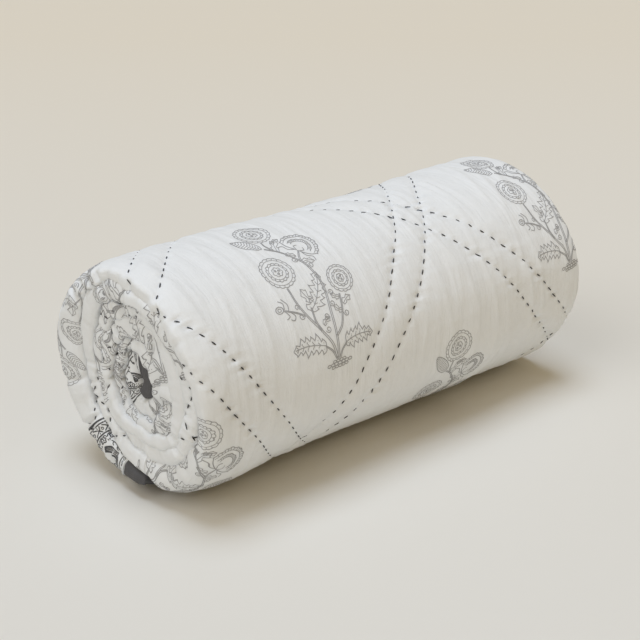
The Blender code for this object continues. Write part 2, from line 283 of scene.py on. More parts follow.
WINDING = Winding()
CLOTH_FROM = WINDING.along_at(CLOTH_START_ANGLE)
OUTER_FROM = WINDING.along_at(TAIL_ANGLE - 358.5)
STRIP_END = WINDING.along_at(TAIL_ANGLE)
CLOTH_TO = STRIP_END - BINDING_WIDTH
FACE_LEAVES_FLOOR = WINDING.along_at(FACE_LEAVES_FLOOR_ANGLE)
STITCH_SLOPE = DIAMOND_HEIGHT / DIAMOND_WIDTH
STITCH_RUN = math.hypot(1.0, STITCH_SLOPE)
CROSSING_ALONG = FACE_LEAVES_FLOOR + DIAMOND_CROSSING_ALONG


def soft_noise(a, b, seed):
    """Smooth uneven values from 0 to 1, one bump a unit."""
    column, row = np.floor(a), np.floor(b)
    right, up = eased(a - column), eased(b - row)

    def knot(i, j):
        value = np.sin(i * 127.1 + j * 311.7 + seed * 74.7) * 43758.5453
        return value - np.floor(value)

    low = knot(column, row) * (1 - right) + knot(column + 1, row) * right
    high = knot(column, row + 1) * (1 - right) + knot(column + 1, row + 1) * right
    return low * (1 - up) + high * up


def ridges(a, b, seed, sharpness=2.0):
    """Ridges from 0 to 1, as small wrinkles have."""
    return (1.0 - np.abs(2.0 * soft_noise(a, b, seed) - 1.0)) ** sharpness


def wrinkled(along, across, kind, seed, lean=0.0):
    """Height of one kind of wrinkle."""
    depth, length, width = kind
    return depth * ridges(along / length, across / width + lean, seed)


def lumpy(along, across, kind, seed):
    """Height of one kind of lump, as much below the cloth as above it."""
    depth, length, width = kind
    return depth * (soft_noise(along / length, across / width, seed) - 0.5)


def towards_end(x, length):
    """Rises from 0 to 1 over the last stretch of the roll's length, at both ends."""
    return eased(np.clip((np.abs(x) - (ROLL_LENGTH / 2 - length)) / length, 0.0, 1.0))


def crease_wander(angle, x):
    """The creases between the turns kink a little at the roll's ends, where cloth is folded by hand."""
    kinks = soft_noise(angle / CREASE_WAVE, np.zeros(np.shape(angle)), 61)
    kinks = kinks + 0.5 * soft_noise(angle / 7.0, angle / 90.0, 67) - 0.75
    inside = np.clip((TAIL_ANGLE - 360.0 - angle) / 20.0, 0.0, 1.0) * np.clip((angle + 10.0) / 60.0, 0.0, 1.0)
    return CREASE_WANDER * kinks * inside * towards_end(x, CREASE_LENGTH)


def strip_section(along, far):
    """Angle, inner and outer radius of the strip, and the reach and edge of its fold at one end."""
    angle = WINDING.angle_at(along)
    outer, inner = WINDING.outer(angle), WINDING.inner(angle)
    turn = angle / 360.0 - 0.5
    turns = range(len(TURN_ROWS))
    far_recess = np.interp(turn, turns, FAR_RECESS)
    far_recess = far_recess + np.interp((angle + 90.0) % 360.0 - 90.0, FAR_LEAN_ANGLES, FAR_LEAN)
    near_recess = np.interp(turn, turns, NEAR_RECESS) + np.interp(angle, DRAWN_IN_ANGLES, DRAWN_IN)
    recess = np.where(far, far_recess, near_recess) * 0.001
    phase = np.where(far, FAR_WAVER_PHASE, 0.0)
    waver = EDGE_WAVER * (1.0 + np.sin(np.radians(angle) * WAVERS_PER_TURN + phase))
    reach = np.minimum(FOLD_ROUNDNESS * (outer - inner), FOLD_REACH_MAX)
    return angle, inner, outer, reach, ROLL_LENGTH / 2 - recess - waver


def round_the_strip(around):
    """Share of the flat face and tilt of the fold, for a place around the strip.

    Around is -1 to 1 across the outer face, on to 2 over the far fold and 3 at the middle of the inner
    face, and the same below -1 by way of the near fold.
    """
    side = np.sign(around)
    distance = np.abs(around)
    face = np.where(distance <= 1.0, around, side * np.clip(3.0 - distance, 0.0, 1.0))
    tilt = math.pi / 2 - math.pi * np.clip(distance - 1.0, 0.0, 1.0)
    return face, tilt


def on_the_roll(along, around):
    """Place on the smooth wound strip."""
    face, tilt = round_the_strip(around)
    angle, inner, outer, reach, edge = strip_section(along, around > 0.0)
    rise, reach_out = np.sin(tilt), np.maximum(0.0, np.cos(tilt))
    share = 0.5 + 0.5 * np.sign(rise) * np.abs(rise) ** FOLD_SQUARENESS
    x = face * (edge - reach) + np.sign(around) * reach * reach_out ** FOLD_SQUARENESS
    inner = inner + crease_wander(angle - 360.0, x)
    outer = outer + crease_wander(angle, x)
    radius = settled(angle, x, share, inner + share * (outer - inner))
    bulge = (1.0 - share) * np.interp(angle, HEART_FILL_ANGLES, (HEART_FILL, 0.0))
    y = HEART_Y + bulge - radius * np.cos(np.radians(angle))
    z = HEART_Z + radius * np.sin(np.radians(angle))
    pressed = eased(np.clip(1.0 - np.hypot(y - HEART_Y, z - HEART_Z) / HEART_REACH, 0.0, 1.0))
    pressed_y = y + pressed * HEART_SHIFT[0]
    pressed_z = z + pressed * (HEART_SHIFT[1] + HEART_STRETCH * (z - HEART_Z))
    return np.stack([x, pressed_y, pressed_z], axis=-1)


def settled(angle, x, share, radius):
    """The radius once the roll lies on the floor: flat below, swollen at a shoulder, drawn in at its ends."""
    down = -np.sin(np.radians(angle))
    radius = np.minimum(radius, HEART_Z / np.maximum(1e-6, down))
    swell = eased(np.clip((x - SHOULDER_FROM) / SHOULDER_LENGTH, 0.0, 1.0))
    facing = np.maximum(0.0, np.cos(np.radians(angle - SHOULDER_ANGLE)))
    radius = radius * (1.0 + SHOULDER * swell * facing ** 2)
    radius = radius * (1.0 - END_DRAW * towards_end(x, END_DRAW_LENGTH))
    off_tuck = ((angle - TUCK_ANGLE + 180.0) % 360.0 - 180.0) / TUCK_SPREAD
    tuck = TUCK * share * np.exp(-off_tuck ** 2) * np.interp(x, TUCK_ALONG, (0.0, 1.0, 1.0, 0.0))
    radius = radius - np.where(angle > TUCK_STARTS_ANGLE, tuck, 0.0)
    below = np.maximum(0.0, down) * radius / HEART_Z
    lift = np.where(x > 0.0, RIM_LIFT_FAR, RIM_LIFT_NEAR)
    return radius - lift * towards_end(x, RIM_LENGTH) * below ** 1.5


def fold_arc(along, far):
    """Half-width of the strip's flat face, and the length of cloth over its fold."""
    _, inner, outer, reach, edge = strip_section(along, far)
    return edge - reach, math.pi * np.sqrt((((outer - inner) / 2) ** 2 + reach ** 2) / 2)


def across_of(along, around):
    """Where a place around the strip lies on the flat cloth, from its middle line."""
    flat, arc = fold_arc(along, around > 0.0)
    distance = np.abs(around)
    over_face = np.minimum(distance, 1.0) * flat
    over_fold = np.clip(distance - 1.0, 0.0, 1.0) * arc
    under = np.clip(distance - 2.0, 0.0, 1.0) * flat
    return np.sign(around) * (over_face + over_fold + under)


def around_of(along, across):
    """The place around the strip that lies at a place on the flat cloth, as far as the end of its fold."""
    flat, arc = fold_arc(along, across > 0.0)
    distance = np.abs(across)
    on_face = np.minimum(distance / flat, 1.0)
    over_fold = np.clip((distance - flat) / arc, 0.0, 1.0)
    return np.sign(across) * (on_face + over_fold)


def stitch_line(along, across, direction, side):
    """Distance from the nearest stitch line of one kind, and the place along that line."""
    beyond = along - CROSSING_ALONG
    offset = (across - DIAMOND_CROSSING_X) - direction * beyond / STITCH_SLOPE - side * LINE_PAIR_WIDTH / 2
    drift = pair_drift(direction, np.round(offset / DIAMOND_WIDTH), beyond)
    repeat = np.round((offset - drift) / DIAMOND_WIDTH)
    run = beyond * STITCH_RUN / STITCH_SLOPE
    wander = line_wander(run, direction, side, repeat) + pair_drift(direction, repeat, beyond)
    distance = (offset - repeat * DIAMOND_WIDTH - wander) * STITCH_SLOPE / STITCH_RUN
    return distance, run, repeat


def pair_drift(direction, repeat, beyond):
    """How far a hand-marked pair of lines strays from the even diamonds."""
    drift = np.zeros(np.shape(beyond))
    for (kind, place), (stray, lean) in PAIR_DRIFTS.items():
        if kind == direction:
            drift = np.where(repeat == place, stray + lean * np.clip(beyond, *DRIFT_STOPS), drift)
    return drift


def line_wander(run, direction, side, repeat):
    """Hand stitching leaves its line a little."""
    phase = direction * 1.7 + side * 0.9 + repeat * 2.3
    return 0.0012 * np.sin(run / 0.047 + phase) + 0.0006 * np.sin(run / 0.017 + 3.1 * phase)


STITCH_KINDS = tuple((direction, side) for direction in (-1, 1) for side in (-1, 1))


def quilted_relief(along, across, fold):
    """Height of the cloth over the smooth roll."""
    height = quilting(along, across, fold) + wrinkles(along, across)
    return height + fold * fold_tucks(along, across)


def quilting(along, across, fold):
    """Channels along the stitch lines, puckers at the stitches and gathers beside them."""
    nearest = np.full(along.shape, 1.0)
    puckers = np.zeros(along.shape)
    gathers = np.zeros(along.shape)
    for direction, side in STITCH_KINDS:
        distance, run, repeat = stitch_line(along, across, direction, side)
        distance = np.abs(distance)
        nearest = np.minimum(nearest, distance)
        beat = run / STITCH_PITCH
        uneven = soft_noise(run / 0.021, repeat * 7.3 + side, 3 + direction)
        close = np.exp(-(distance / PUCKER_WIDTH) ** 2)
        puckers += close * (0.45 + 0.55 * np.cos(2 * math.pi * beat)) * (0.6 + 0.8 * uneven)
        waves = np.cos(2 * math.pi * (beat + distance / 0.035 + uneven))
        gathers += np.exp(-distance / GATHER_WIDTH) * (0.2 + 1.2 * uneven ** 2) * waves
    puff = 1.0 - np.exp(-nearest / PUFF_WIDTH)
    gather_depth = GATHER_DEPTH * (1.0 - GATHERS_LOST_ON_FOLDS * fold)
    return CHANNEL_DEPTH * (puff - CHANNEL_BELOW) - PUCKER_DEPTH * puckers - gather_depth * gathers


def wrinkles(along, across):
    """Drawn wrinkles that run round the roll in bands, a few that run along it, and soft swells."""
    lean = 1.5 * soft_noise(along / 0.13, across / 0.09, 5)
    drawn = soft_noise(along / 0.13, across / 0.10, 11) ** 1.5 * 1.7
    height = wrinkled(along, across, LONG_WRINKLES, 7, lean) * drawn
    drawn = 0.2 + soft_noise(along / 0.07, across / 0.06, 19)
    height += wrinkled(along, across, SHORT_WRINKLES, 17, -lean) * drawn
    drawn = soft_noise(along / 0.05, across / 0.08, 47)
    height += wrinkled(along, across, CROSS_WRINKLES, 43) * drawn
    return height + lumpy(along, across, SWELLS, 23) + lumpy(along, across, LUMPS, 29)


def fold_tucks(along, across):
    """Lumps, creases and pinched pleats of the cloth that is bunched over the folds."""
    bunched = 0.35 + soft_noise(along / 0.07, across / 0.09, 37)
    unevenly = 0.6 * soft_noise(along / 0.03, across / 0.02, 33)
    creases = ridges(along / 0.024 + unevenly, across / 0.075, 31)
    creases = creases + 0.3 * ridges(along / 0.009, across / 0.040, 83)
    pleats = np.zeros(along.shape)
    for turn, angle, half_width, depth in PLEATS:
        away = along - WINDING.along_at(360 * turn + angle) - 0.15 * (across + 0.30)
        pleats += depth * 0.001 * np.exp(-(away / (half_width * 0.001)) ** 2)
    pleats = np.where(across < 0.0, pleats, 0.0)
    return lumpy(along, across, FOLD_LUMPS, 41) - FOLD_CREASE_DEPTH * creases * bunched - pleats


def plain_relief(along, across, fold):
    """Height of the bindings, which are plain cloth, a little lumpy and pressed thin at the loose end."""
    ripples = wrinkled(along, across, BINDING_RIPPLES, 53) - BINDING_RIPPLES[0] / 2
    to_end = np.clip((along - (STRIP_END - BINDING_END_LENGTH)) / BINDING_END_LENGTH, 0.0, 1.0)
    pressed = BINDING_END_DROP * (1.0 - np.sqrt(np.maximum(0.0, 1.0 - to_end ** 2)))
    return 0.0003 + lumpy(along, across, BINDING_LUMPS, 51) - ripples * fold - pressed


def fold_share(around):
    """1 at the crest of the folds at the roll's ends, easing to 0 at the faces."""
    tilt = round_the_strip(around)[1]
    return np.maximum(0.0, np.cos(tilt)) ** 0.8


class Cloth:
    """A stretch of the wound cloth as a grid of places, which the prints and stitches are laid on."""

    def __init__(self, stations, rounds, relief):
        self.stations = np.asarray(stations)
        self.rounds = np.asarray(rounds)
        along, around = np.meshgrid(self.stations, self.rounds, indexing="ij")
        smooth = on_the_roll(along, around)
        normals = self.grid_normals(smooth)
        self.across = across_of(along, around)
        height = relief(along, self.across, fold_share(around))
        height = height * np.clip((smooth[..., 2] - 0.002) / 0.006, 0.0, 1.0)
        self.points = smooth + normals * height[..., None]
        self.points[..., 2] = np.maximum(self.points[..., 2], 0.0)
        self.normals = self.grid_normals(self.points)

    @staticmethod
    def grid_normals(points):
        ring = np.concatenate([points[:, -2:-1], points, points[:, 1:2]], axis=1)
        round_step = ring[:, 2:] - ring[:, :-2]
        along_step = np.gradient(points, axis=0)
        normals = np.cross(round_step, along_step)
        return normals / np.maximum(1e-12, np.linalg.norm(normals, axis=-1, keepdims=True))

    def holds(self, along):
        return (along >= self.stations[0]) & (along <= self.stations[-1])

    def at(self, along, across):
        """Points on the cloth and its normals there."""
        u = np.interp(along, self.stations, np.arange(len(self.stations)))
        v = np.interp(around_of(along, across), self.rounds, np.arange(len(self.rounds)))
        i = np.clip(np.floor(u).astype(int), 0, len(self.stations) - 2)
        j = np.clip(np.floor(v).astype(int), 0, len(self.rounds) - 2)
        a, b = (u - i)[:, None], (v - j)[:, None]

        def mixed(grid):
            near = grid[i, j] * (1 - b) + grid[i, j + 1] * b
            far = grid[i + 1, j] * (1 - b) + grid[i + 1, j + 1] * b
            return near * (1 - a) + far * a

        return mixed(self.points), mixed(self.normals)


def rounds_of(face_steps, fold_steps, under_steps, edge_steps=0):
    """Places around the strip, as fine as asked for on the face, the folds and the underside."""
    face = np.linspace(-1.0, 1.0, face_steps + 1)
    if edge_steps:
        edge = np.linspace(0.90, 1.0, edge_steps + 1)
        face = np.unique(np.round(np.concatenate([face, edge, -edge]), 6))
    fold = 1.0 + (1.0 - np.cos(np.linspace(0.0, math.pi, fold_steps + 1))) / 2 * 0.35 \
        + np.linspace(0.0, 1.0, fold_steps + 1) * 0.65
    under = np.linspace(2.0, 3.0, under_steps + 1)
    half = np.concatenate([fold[1:], under[1:]])
    return np.concatenate([-half[::-1], face, half])


def new_object(name, data):
    made = bpy.data.objects.new(name, data)
    bpy.context.scene.collection.objects.link(made)
    return made


def object_from(bm, name):
    """A smooth-shaded object of the faces built so far."""
    mesh = bpy.data.meshes.new(name)
    bm.to_mesh(mesh)
    bm.free()
    mesh.shade_smooth()
    return new_object(name, mesh)


def wound_piece(name, cloth):
    """One closed skin over a stretch of the wound strip."""
    rows, columns = len(cloth.stations), len(cloth.rounds)
    bm = bmesh.new()
    bmesh.ops.create_grid(bm, x_segments=rows - 1, y_segments=columns - 1, size=1.0)
    flat = np.array([vert.co[:2] for vert in bm.verts])
    i = np.round((flat[:, 0] + 1) / 2 * (rows - 1)).astype(int)
    j = np.round((flat[:, 1] + 1) / 2 * (columns - 1)).astype(int)
    write_cloth_map(bm, cloth.stations[i], cloth.across[i, j])
    for vert, point in zip(bm.verts, cloth.points[i, j]):
        vert.co = point
    bmesh.ops.remove_doubles(bm, verts=[v for v in bm.verts if v.is_boundary], dist=1e-6)
    bmesh.ops.holes_fill(bm, edges=[e for e in bm.edges if e.is_boundary], sides=0)
    if bm.calc_volume(signed=True) < 0.0:
        bmesh.ops.reverse_faces(bm, faces=bm.faces)
    return object_from(bm, name)


def write_cloth_map(bm, along, across):
    """Each vertex's place on the flat cloth, in metres, as the map that the materials read."""
    layer = bm.loops.layers.uv.new("cloth")
    for face in bm.faces:
        for loop in face.loops:
            index = loop.vert.index
            loop[layer].uv = (along[index], across[index])


class Block:
    """Pen strokes of one printing block, in millimetres: x across the cloth, y towards its loose end."""

    def __init__(self):
        self.strokes = []

    def line(self, points, width, closed=False):
        self.strokes.append((finely_cut(points, closed), width, closed))

    def curve(self, knots, width):
        self.line(smooth_line(knots), width)

    def dot(self, place, size):
        x, y = place
        self.line([(x - size * 0.3, y), (x + size * 0.3, y)], size)

    def ring(self, centre, radius, width, scallops=0, depth=0.0, flatten=1.0, turn=0.0):
        """A round or petal-edged ring, the notches between its petals pointing inwards."""
        steps = max(8, round(radius * 3.6), scallops * 4)
        around = np.linspace(0, 2 * math.pi, steps, endpoint=False)
        notches = 1.0 - np.abs(np.sin(around * scallops / 2)) if scallops else 0.0 * around
        reach = radius * (1.0 - depth * notches)
        points = np.stack([reach * np.cos(around), reach * np.sin(around) * flatten], axis=-1)
        self.line(turned(points, turn) + centre, width, True)

    def rays(self, centre, inner, outer, count, width, flatten, turn, lean=0.0):
        """Short strokes that stand around a centre."""
        for ray in range(count):
            at = 2 * math.pi * ray / count
            ends = np.array([(inner * math.cos(at), inner * math.sin(at) * flatten),
                             (outer * math.cos(at + lean), outer * math.sin(at + lean) * flatten)])
            self.line(turned(ends, turn) + centre, width)

    def stem(self, knots, spread):
        """Two lines side by side that draw together towards the tip."""
        middle = smooth_line(knots)
        step = np.gradient(middle, axis=0)
        side = np.stack([-step[:, 1], step[:, 0]], axis=-1) / np.linalg.norm(step, axis=1, keepdims=True)
        taper = np.linspace(1.0, 0.6, len(middle))[:, None] * spread / 2
        self.line(middle + side * taper, 0.9)
        self.line(middle - side * taper, 0.9)

    def curl(self, start, turn, size, hand=1):
        """A tendril that rolls in on itself."""
        sweep = np.linspace(0.0, 1.3 * 2 * math.pi, 16)
        reach = size * (1.0 - 0.72 * sweep / sweep[-1])
        loop = np.stack([size - reach * np.cos(sweep), hand * reach * np.sin(sweep)], axis=-1)
        self.line(turned(loop, turn) + start, 0.85)

    def leaf(self, start, length, breadth, turn, teeth, width, bow=0.1):
        """A leaf with hooked teeth, a midrib, side veins and a row of dots in each half."""
        start = np.asarray(start, float)

        def place(points):
            return turned(bowed(points, bow * length, length), turn) + start

        step = length / (teeth + 0.25)
        for side in (-1, 1):
            outline = [(0.0, 0.0)]
            for tooth in range(teeth):
                t = (tooth + 0.35) / (teeth + 0.25)
                swell = breadth / 2 * math.sin(math.pi * min(1.0, 0.20 + t * 0.76)) ** 0.7
                swell = side * swell * (0.84 + 0.16 * math.sin(tooth * 2.4 + side))
                foot, hook = t * length - 0.35 * step, t * length + 0.30 * step
                outline += [(foot, swell * 0.52), (foot + 0.22 * step, swell * 0.74), (hook, swell),
                            (hook + 0.02 * step, swell * 0.78), (hook + 0.20 * step, swell * 0.54)]
                if teeth > 3:
                    self.dot(place([(foot + 0.45 * step, swell * 0.40)])[0], 1.1 * width)
                    self.dot(place([(hook, swell * 0.88)])[0], 1.5 * width)
            outline.append((length, 0.0))
            self.line(place(outline), width)
        self.line(place([(length * t, 0.0) for t in np.linspace(-0.02, 0.94, 6)]), width)
        for vein in range(1, teeth if teeth > 3 else 0):
            t = vein / teeth
            for side in (-1, 1):
                tip = (length * (t + 0.07), side * breadth * 0.16 * math.sin(math.pi * t) ** 0.6)
                self.line(place([(length * t, 0.0), tip]), 0.75 * width)


def smooth_line(knots):
    """A line without corners through a few knots."""
    knots = np.asarray(knots, float)
    points = []
    for span in range(len(knots) - 1):
        p1, p2 = knots[span], knots[span + 1]
        p0 = knots[span - 1] if span else 2 * p1 - p2
        p3 = knots[span + 2] if span + 2 < len(knots) else 2 * p2 - p1
        steps = max(2, round(np.linalg.norm(p2 - p1) / 1.9))
        for step in range(steps):
            t = step / steps
            points.append(0.5 * (2 * p1 + (p2 - p0) * t + (2 * p0 - 5 * p1 + 4 * p2 - p3) * t ** 2
                                 + (3 * p1 - p0 - 3 * p2 + p3) * t ** 3))
    points.append(knots[-1])
    return np.array(points)


def finely_cut(points, closed):
    """Adds points to long strokes, so that they can follow the cloth."""
    points = [np.asarray(point, float) for point in points]
    ends = points + [points[0]] if closed else points
    cut = []
    for start, end in zip(ends[:-1], ends[1:]):
        pieces = max(1, math.ceil(np.linalg.norm(end - start) / 2.2))
        cut += [start + (end - start) * piece / pieces for piece in range(pieces)]
    return np.array(cut if closed else cut + [points[-1]])


def turned(points, turn):
    """The points turned about the origin, anticlockwise."""
    points = np.asarray(points, float)
    c, s = math.cos(turn), math.sin(turn)
    return np.stack([points[:, 0] * c - points[:, 1] * s, points[:, 0] * s + points[:, 1] * c], axis=-1)


def bowed(points, rise, span):
    """Bows a shape that lies along x, its middle raised."""
    points = np.asarray(points, float)
    t = points[:, 0] / span
    return np.stack([points[:, 0], points[:, 1] + 4 * rise * t * (1 - t)], axis=-1)


def round_flower(block, centre, radius, petals, flatten, turn):
    """A flower seen from above, ring inside ring of petals."""
    centre = np.asarray(centre, float)
    block.ring(centre, radius, 0.85, petals, 0.05, flatten, turn)
    block.ring(centre, radius * 0.83, 0.6, 0, 0.0, flatten, turn)
    block.rays(centre, radius * 0.83, radius * 0.96, petals, 0.6, flatten, turn)
    block.ring(centre, radius * 0.63, 0.8, petals - 5, 0.10, flatten, turn)
    block.ring(centre, radius * 0.48, 0.6, 0, 0.0, flatten, turn)
    block.rays(centre, radius * 0.48, radius * 0.58, petals - 5, 0.6, flatten, turn, 0.10)
    block.ring(centre, radius * 0.31, 0.75, 7, 0.20, flatten, turn)
    for petal in range(3):
        way = turn + petal * 2.1
        block.curl(centre + turned([(radius * 0.05, 0.0)], way)[0], way, radius * 0.08)


def opening_flower(block, foot, breadth, depth, turn):
    """A flower from the side, its petals fanned over a cup of sepals."""
    foot = np.asarray(foot, float)

    def place(points):
        return turned(points, turn - math.pi / 2) + foot

    def fanned(reach, at):
        x = breadth / 2 * reach * np.cos(at)
        return np.stack([x, depth * (0.27 + 0.73 * reach * np.sin(at))], axis=-1)

    fan = np.linspace(-0.16, math.pi + 0.16, 41)
    for reach, scallops in ((1.0, 9.0), (0.82, 0.0), (0.62, 7.0), (0.44, 0.0)):
        edge = reach * (1.0 - 0.06 * (1.0 - np.abs(np.sin(fan * scallops))) * (scallops > 0.0))
        block.line(place(fanned(edge, fan)), 1.0 if scallops else 0.75)
    for ray in range(17):
        at = math.pi * (ray + 0.5) / 17
        for ends in ((0.82, 0.97), (0.46, 0.60)):
            block.line(place(fanned(np.array(ends), at * np.ones(2))), 0.75)

    def sepal(knots, width):
        block.curve(place([(x * breadth, y * depth) for x, y in knots]), width)

    sepal(((-0.50, 0.20), (-0.30, 0.04), (0.0, -0.02), (0.30, 0.04), (0.50, 0.20)), 1.0)
    for side in (-1, 1):
        sepal(((side * 0.04, 0.0), (side * 0.24, -0.10), (side * 0.40, -0.02), (side * 0.50, -0.16)), 0.95)
        sepal(((side * 0.04, 0.0), (side * 0.14, 0.14), (side * 0.08, 0.26)), 0.9)


def closed_bud(block, foot, length, breadth, turn, bars):
    """A long feathery bud, barred across."""
    foot = np.asarray(foot, float)
    shares = np.linspace(0.0, 1.0, 12)
    half_widths = breadth / 2 * np.sin(math.pi * shares ** 0.8) ** 0.7
    for side in (-1, 1):
        outline = np.stack([length * shares, side * half_widths], axis=-1)
        block.line(turned(outline, turn) + foot, 0.95)
    for bar in range(1, bars + 1):
        t = bar / (bars + 1.2)
        half = breadth * 0.42 * math.sin(math.pi * t ** 0.8) ** 0.7
        chevron = [(length * (t + 0.07), -half), (length * t, 0.0), (length * (t + 0.07), half)]
        block.line(turned(chevron, turn) + foot, 0.75)


def spray_block():
    """The main motif: a flowering plant about 195 mm tall and 105 mm wide that grows from a small hillock."""
    block = Block()
    for count, level, spread in ((5, -0.2, 22.0), (7, 2.8, 33.0), (4, 5.6, 17.0)):
        for pebble in range(count):
            x = (pebble - (count - 1) / 2) * spread / count
            block.ring(np.array([x, level + 0.05 * x]), spread / count * 0.52, 0.9, 0, 0.0, 0.60)
    for spread, *knots in SPRAY_STEMS:
        block.stem(knots, spread)
    round_flower(block, (-33, 110), 19.3, 19, 1.0, 0.3)
    round_flower(block, (-15, 175), 19.6, 19, 0.96, -0.2)
    round_flower(block, (32, 84), 15.5, 16, 0.98, 0.9)
    opening_flower(block, (9, 129), 41.0, 31.0, math.radians(41))
    closed_bud(block, (-26, 145), 33.0, 14.0, math.radians(130), 10)
    block.leaf((-19, 61), 46.0, 23.0, math.radians(54), 6, 0.8, -0.09)
    block.leaf((-15, 24), 40.0, 24.0, math.radians(174), 6, 0.9, -0.07)
    block.leaf((11, 21), 38.0, 23.0, math.radians(1), 6, 0.9, 0.08)
    for x, y, turn, length, breadth in SPRAY_LEAFLETS:
        block.leaf((x, y), length, breadth, math.radians(turn), 2, 0.7)
    for x, y, turn, size, hand in SPRAY_TENDRILS:
        block.curl(np.array([x, y], float), math.radians(turn), size, hand)
    block.stem([(-28, 58), (-38, 64), (-51, 69)], 1.4)
    for radius, width in ((4.2, 1.0), (2.0, 0.8)):
        block.ring(np.array([-55.0, 71.0]), radius, width, 0, 0.0, 0.85)
    for knots in ([(-50, 70), (-49, 76), (-53, 80)], [(-46, 67), (-44, 74), (-49, 81)],
                  [(-50, 68), (-47, 62), (-51, 60)], [(-44, 66), (-40, 61), (-43, 57), (-47, 59)]):
        block.curve(knots, 0.95)
    return block


def border_block(repeats):
    """The border: ruled lines, crossed scrolls, florets, striped crescents and beads by the binding."""
    block = Block()
    half = repeats * BORDER_REPEAT_MM / 2
    for level, width in ((0.0, 2.7), (5.2, 2.1), (20.4, 2.3), (69.5, 1.3)):
        block.line([(-half, level), (half, level)], width)
    for cell in range(repeats * 2):
        cx = (cell + 0.5) * BORDER_REPEAT_MM / 2 - half
        for side in (-1, 1):
            scroll = ((-5.8, 7.6), (-2.0, 10.6), (2.0, 15.0), (5.8, 18.0))
            block.curve([(cx + side * x, y) for x, y in scroll], 1.5)
        block.ring(np.array([cx - 7.7, 12.8]), 1.9, 1.1)
        block.dot((cx, 8.4), 2.0)
        block.dot((cx, 17.2), 2.0)
        block.ring(np.array([cx, 28.6]), 4.8, 1.4, 5, 0.42)
        block.dot((cx, 28.6), 2.8)
        for side in (-1, 1):
            block.curve([(cx + side * x, y) for x, y in ((1.0, 23.2), (5.6, 24.2), (7.2, 28.0))], 1.4)
            block.dot((cx + side * 6.4, 32.6), 2.4)
    for repeat in range(repeats):
        striped_crescent(block, (repeat + 0.5) * BORDER_REPEAT_MM - half, 36.0)
    for bead in range(repeats * 4):
        block.ring(np.array([(bead + 0.5) * BORDER_REPEAT_MM / 4 - half, 75.4]), 2.6, 1.2)
    return block


def striped_crescent(block, cx, foot):
    """A plump leaf that curls over at its tip, striped along its length, with a sprig beside it."""
    def stroke(width, *knots):
        block.curve([(cx + x, foot + y) for x, y in knots], width)

    for stripe in range(5):
        inset = stripe * 2.3
        stroke(1.7 if stripe in (0, 4) else 1.2,
               (-3 + 0.3 * inset, 0.4 * inset), (-11.2 + inset, 9), (-11.0 + inset, 19),
               (-5.0 + 0.75 * inset, 27.5 - 0.5 * inset), (2.8 + 0.2 * inset, 30.6 - 1.1 * inset))
    stroke(1.5, (2.8, 30.6), (8.0, 28.0), (7.6, 22.6), (3.8, 22.8))
    stroke(1.3, (13.6, 0.5), (11.8, 10), (13.2, 20), (11.2, 31.0))
    for level, side in ((5, 1), (10, -1), (15, 1), (20, -1), (25, 1)):
        stroke(1.2, (12.6, level), (12.6 + side * 2.6, level + 1.8), (12.6 + side * 3.4, level + 5.0))


def pen_nib():
    """A one-millimetre line that is swept along every stroke."""
    data = bpy.data.curves.new("pen_nib", "CURVE")
    spline = data.splines.new("POLY")
    spline.points.add(1)
    spline.points[0].co = (-0.5, 0.0, 0.0, 1.0)
    spline.points[1].co = (0.5, 0.0, 0.0, 1.0)
    return new_object("pen_nib", data)


def block_mesh(name, block):
    """The strokes as flat ribbons, in millimetres."""
    nib = pen_nib()
    data = bpy.data.curves.new(name, "CURVE")
    data.dimensions = "2D"
    data.fill_mode = "NONE"
    data.bevel_mode = "OBJECT"
    data.bevel_object = nib
    for points, width, closed in block.strokes:
        spline = data.splines.new("POLY")
        spline.points.add(len(points) - 1)
        for place, point in zip(spline.points, points):
            place.co = (point[0], point[1], 0.0, 1.0)
            place.radius = width
        spline.use_cyclic_u = closed
    drawn = new_object(name, data)
    bpy.context.view_layer.update()
    mesh = bpy.data.meshes.new_from_object(drawn.evaluated_get(bpy.context.evaluated_depsgraph_get()))
    bpy.data.objects.remove(drawn)
    bpy.data.objects.remove(nib)
    return mesh


def printed(name, prints, cloths):
    """Block prints laid on the wound cloth, each a mesh with its place and turn on the flat cloth."""
    bm = bmesh.new()
    flat = []
    for mesh, across, along, turn in prints:
        bm.from_mesh(mesh)
        strokes = np.array([vert.co[:2] for vert in mesh.vertices]) * 0.001
        flat.append(turned(strokes, turn) + (across, along))
    across, along = np.concatenate(flat).T
    shown = shows_on_cloth(along, across)
    points = np.zeros((len(along), 3))
    normals = np.zeros((len(along), 3))
    for cloth in cloths:
        here = cloth.holds(along)
        points[here], normals[here] = cloth.at(along[here], across[here])
    points = points + normals * PRINT_LIFT
    points[:, 2] = np.maximum(points[:, 2], 0.0)
    bm.verts.index_update()
    write_cloth_map(bm, along, across)
    for vert, point in zip(bm.verts, points):
        vert.co = point
    bm.normal_update()
    inward = [face for face in bm.faces if face.normal.dot(Vector(normals[face.verts[0].index])) < 0.0]
    bmesh.ops.reverse_faces(bm, faces=inward)
    hidden = [face for face in bm.faces if not all(shown[vert.index] for vert in face.verts)]
    bmesh.ops.delete(bm, geom=hidden, context="FACES")
    return object_from(bm, name)


def shows_on_cloth(along, across):
    """True on the outer face, and on and beside the folds of the inner turns."""
    around = around_of(along, across)
    flat = fold_arc(along, across > 0.0)[0]
    on_fold = np.abs(across) >= flat - 0.003
    in_strip = (along >= CLOTH_FROM + 0.0004) & (along <= CLOTH_TO - 0.0004)
    return in_strip & (np.abs(around) < 1.95) & ((along >= OUTER_FROM) | on_fold)


